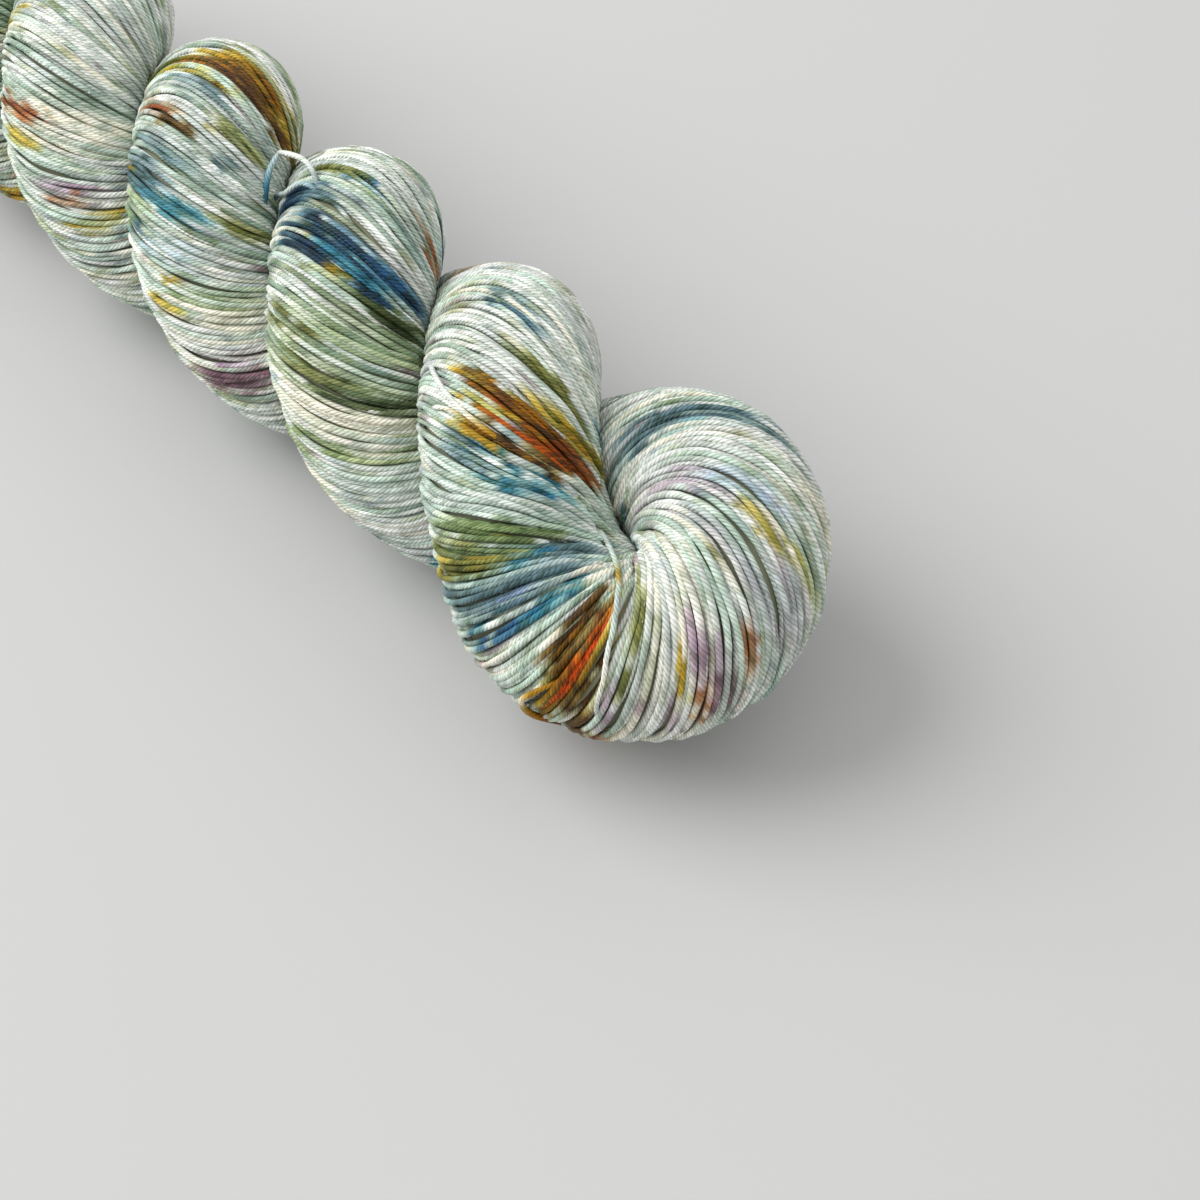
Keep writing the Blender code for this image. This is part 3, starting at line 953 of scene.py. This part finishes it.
def dye_spots(ply):
    """The table's dye, and dye picked at random where the table has none."""
    spots = [Spot(ply, *row) for row in DYE_TABLE]
    rng = np.random.default_rng(RANDOM_SEED)
    for s in np.arange(ply.s[0] + RANDOM_END, ply.s[-1] - RANDOM_END, RANDOM_STEP):
        for kind in (WASH, STREAK, STREAK):
            turn = rng.uniform(0.0, 360.0)
            size = (rng.uniform(*kind["length"]), rng.uniform(*kind["width"]))
            colour = kind["colours"][rng.integers(len(kind["colours"]))]
            strength = rng.uniform(*kind["strength"])
            if not covered(s, turn):
                spots.append(Spot(ply, s, turn, *size, colour, strength))
    return spots


def to_linear(colour):
    """Display values up to 255 as the linear values that shaders take."""
    return np.clip(colour / WHITE_LEVEL, 0.0, 1.0) ** GAMMA


def ground_colour(rng, count, segment):
    """The undyed yarn along one strand, which changes from one ground colour to another."""
    mix = ease(0.5 + GROUND_WAVE * wander(rng, count, segment, GROUND_LENGTH))[:, None]
    return pick(rng, GROUND) * (1.0 - mix) + pick(rng, GROUND) * mix


def flecked(colour, rng, segment):
    """The colour along one strand with short flecks of others."""
    place = np.arange(len(colour)) * segment
    for _ in range(rng.poisson(len(colour) * segment / FLECK_SPACING)):
        half = rng.uniform(*FLECK_LENGTH)
        strength = rng.uniform(*FLECK_STRENGTH)
        part = strength * (1.0 - ease(np.abs(place - rng.uniform(0.0, place[-1])) / half))
        colour = colour + (pick(rng, FLECKS) - colour) * part[:, None]
    return colour


def strand_dye(ply, spots, rng, rows, turn, segment):
    """Linear colour along one strand, and how deep the dye went in."""
    count = len(rows)
    colour = flecked(ground_colour(rng, count, segment), rng, segment)
    undyed = np.ones(count)
    for spot in spots:
        part = spot.soak(ply, rng, rows, turn)
        if part is not None:
            wave = 1.0 + SOAK_WAVE * wander(rng, count, segment, SOAK_LENGTH)
            part = np.clip(part * wave, 0.0, 1.0)
            colour = colour * (spot.colour / colour) ** part[:, None]
            undyed = undyed * (1.0 - part * spot.depth)
    light = 1.0 + LIGHT_WAVE * wander(rng, count, segment, LIGHT_LENGTH)
    return np.concatenate([to_linear(colour * light[:, None]), 1.0 - undyed[:, None]], axis=1)


def uneven_radius(ply, rows, rng, segment, thicker):
    """A strand's radius along it, fuller round the fold."""
    uneven = rng.normal(1.0, THICKNESS_SPREAD)
    uneven = uneven + THICKNESS_WAVE * wander(rng, len(rows), segment, THICKNESS_LENGTH)
    uneven = uneven + rng.normal(0.0, THICKNESS_NOISE, len(rows))
    looser = np.exp(-((rows - ply.apex) * ply.step / LOOSER_LENGTH) ** 2)
    return thicker * STRAND_RADIUS * np.clip(uneven, *THICKNESS_LIMITS) * (1.0 + FULLER * looser)


def add_tube(tubes, ply, laid, dye_along, rng, segment, thicker=1.0):
    """One strand along a path laid on the ply."""
    path, outward, rows, turn = laid
    path = settle(to_frame(path), STRAND_RADIUS * MM)
    extra = np.concatenate([outward, rows[:, None], turn[:, None]], axis=1)
    points, extra, length = resample(path / MM, extra, segment)
    rows, turn = extra[:, 3], extra[:, 4]
    radius = uneven_radius(ply, rows, rng, segment, thicker)
    dye = dye_along(rows, turn)
    points = settle(points * MM, radius * MM)
    length = length + rng.uniform(0.0, MARK_START)
    tubes.add(points, unit(extra[:, :3]), radius * MM, length, dye)


def rounded(rows, window):
    """The rows evened out over a window, from the first to the last."""
    padded = np.pad(rows, ((window // 2, window // 2), (0, 0)), "edge")
    box = np.ones(window) / window
    return np.stack([np.convolve(column, box, "valid") for column in padded.T], axis=1)


def loose_piece(ply, material):
    """Strands that stand proud of the others or cross a crease."""
    rng = np.random.default_rng(LOOSE_SEED)
    tubes = TubeMesh(LOOSE_SIDES)
    for table in LOOSE:
        s, turn, lift, names = zip(*table)
        rows = np.array(s) / ply.step + ply.apex
        knots, outward, _, _ = place_on(ply, rows, np.radians(turn), np.array(lift))
        order = np.arange(len(table), dtype=float)[:, None]
        curve = smooth_rows(np.concatenate([knots, outward, order], axis=1), LOOSE_STEPS)
        curve = rounded(curve, LOOSE_WINDOW)
        colours = np.array([COLOURS[name] for name in names], float)

        def dye_along(place, _):
            mixed = np.stack([np.interp(place, order[:, 0], channel) for channel in colours.T], axis=1)
            return np.concatenate([to_linear(mixed), np.zeros((len(mixed), 1))], axis=1)

        laid = (curve[:, :3], curve[:, 3:6], curve[:, 6], np.zeros(len(curve)))
        add_tube(tubes, ply, laid, dye_along, rng, LOOSE_SEGMENT)
    return tubes.finish("loose_strands", material, LOOSE_SEGMENT)


def strand_pieces(ply, spots, grooves, layer, material):
    """A layer of strands, dealt out over its pieces."""
    rng = np.random.default_rng(layer["seed"])
    runs = spread(ply, lay_strands(ply, layer["looser"], layer["shortest"]))
    meshes = [TubeMesh(layer["sides"]) for _ in layer["names"]]

    def dye_along(rows, turn):
        return strand_dye(ply, spots, rng, rows, turn, layer["segment"])

    for n, run in enumerate(runs):
        laid = strand_path(ply, grooves, run, rng, layer)
        tubes = meshes[n % len(meshes)]
        add_tube(tubes, ply, laid, dye_along, rng, layer["segment"], layer["thicker"])
    named = zip(layer["names"], meshes)
    return [mesh.finish(name, material, layer["segment"]) for name, mesh in named]


def core_piece(ply, material):
    """A dark swept body below the strands, which closes what shows between them. Its dark colour is painted
    shade.
    """
    rows = np.arange(0, ply.count, CORE_ROWS)
    columns = np.arange(0, FAN, CORE_COLUMNS)
    length = np.maximum(ply.reach[np.ix_(rows, columns)] - CORE_DEPTH, CORE_LEAST_OUT)
    points = ply.centre[rows][:, None] + ply.fan[np.ix_(rows, columns)] * length[..., None]
    points = settle(to_frame(points.reshape(-1, 3)), STRAND_RADIUS * MM)
    quads, near_cap, far_cap = ring_faces(0, len(rows), len(columns))
    mesh = bpy.data.meshes.new("core")
    mesh.from_pydata(points.tolist(), [], quads.tolist() + [near_cap, far_cap])
    mesh.shade_smooth()
    mesh.materials.append(material)
    return new_object("core", mesh)


def floor():
    bpy.ops.mesh.primitive_plane_add(size=FLOOR_SIZE)
    plane = bpy.context.object
    plane.name = "floor"
    nodes = Nodes("floor", FLOOR_ROUGHNESS)
    nodes.shader.inputs["Base Color"].default_value = FLOOR_COLOUR
    nodes.shader.inputs["Specular IOR Level"].default_value = FLOOR_GLOSS
    plane.data.materials.append(nodes.material)


def face(holder, direction):
    """Turns a light or camera to look in a direction."""
    holder.rotation_mode = "QUATERNION"
    holder.rotation_quaternion = direction.to_track_quat("-Z", "Y")


def key_light():
    """A large soft lamp above the hank's far end."""
    lamp = bpy.data.lights.new("key", "AREA")
    lamp.shape = "DISK"
    lamp.size = KEY_SIZE
    lamp.energy = KEY_POWER
    holder = new_object("key", lamp)
    holder.location = KEY_PLACE
    face(holder, Vector(KEY_TARGET) - Vector(KEY_PLACE))


def surroundings():
    world = bpy.data.worlds.new("studio")
    bpy.context.scene.world = world
    world.use_nodes = True
    back = world.node_tree.nodes["Background"]
    back.inputs["Color"].default_value = WHITE_LIGHT
    back.inputs["Strength"].default_value = SURROUNDINGS


def camera():
    azimuth, elevation = math.radians(AZIMUTH), math.radians(ELEVATION)
    level = math.cos(elevation)
    back = Vector((math.sin(azimuth) * level, -math.cos(azimuth) * level, math.sin(elevation)))
    aim = Vector(to_frame([0.0, -AIM_LIFT * math.sin(FOLD_ANGLE), AIM_LIFT * math.cos(FOLD_ANGLE)]))
    lens = bpy.data.cameras.new("camera")
    holder = new_object("camera", lens)
    holder.location = aim + back * DISTANCE
    face(holder, -back)
    lens.sensor_width = SENSOR
    lens.lens = FOCAL
    lens.shift_x = (IMAGE / 2 - AIM_PIXEL[0]) / IMAGE
    lens.shift_y = (AIM_PIXEL[1] - IMAGE / 2) / IMAGE
    lens.clip_start = NEAR_CLIP
    bpy.context.scene.camera = holder


def dress():
    camera()
    floor()
    key_light()
    surroundings()
    ply = Ply()
    yarn = yarn_material()
    spots = dye_spots(ply)
    grooves = [Groove(ply, *row) for row in GROOVES]
    pieces = strand_pieces(ply, spots, grooves, OUTER, yarn)
    pieces.append(loose_piece(ply, yarn))
    pieces += strand_pieces(ply, spots, grooves, UNDER, yarn)
    pieces.append(core_piece(ply, core_material()))
    for piece in pieces:
        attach(piece, "root")
        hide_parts("hank")


dress()
bpy.context.scene.view_settings.view_transform = "Standard"
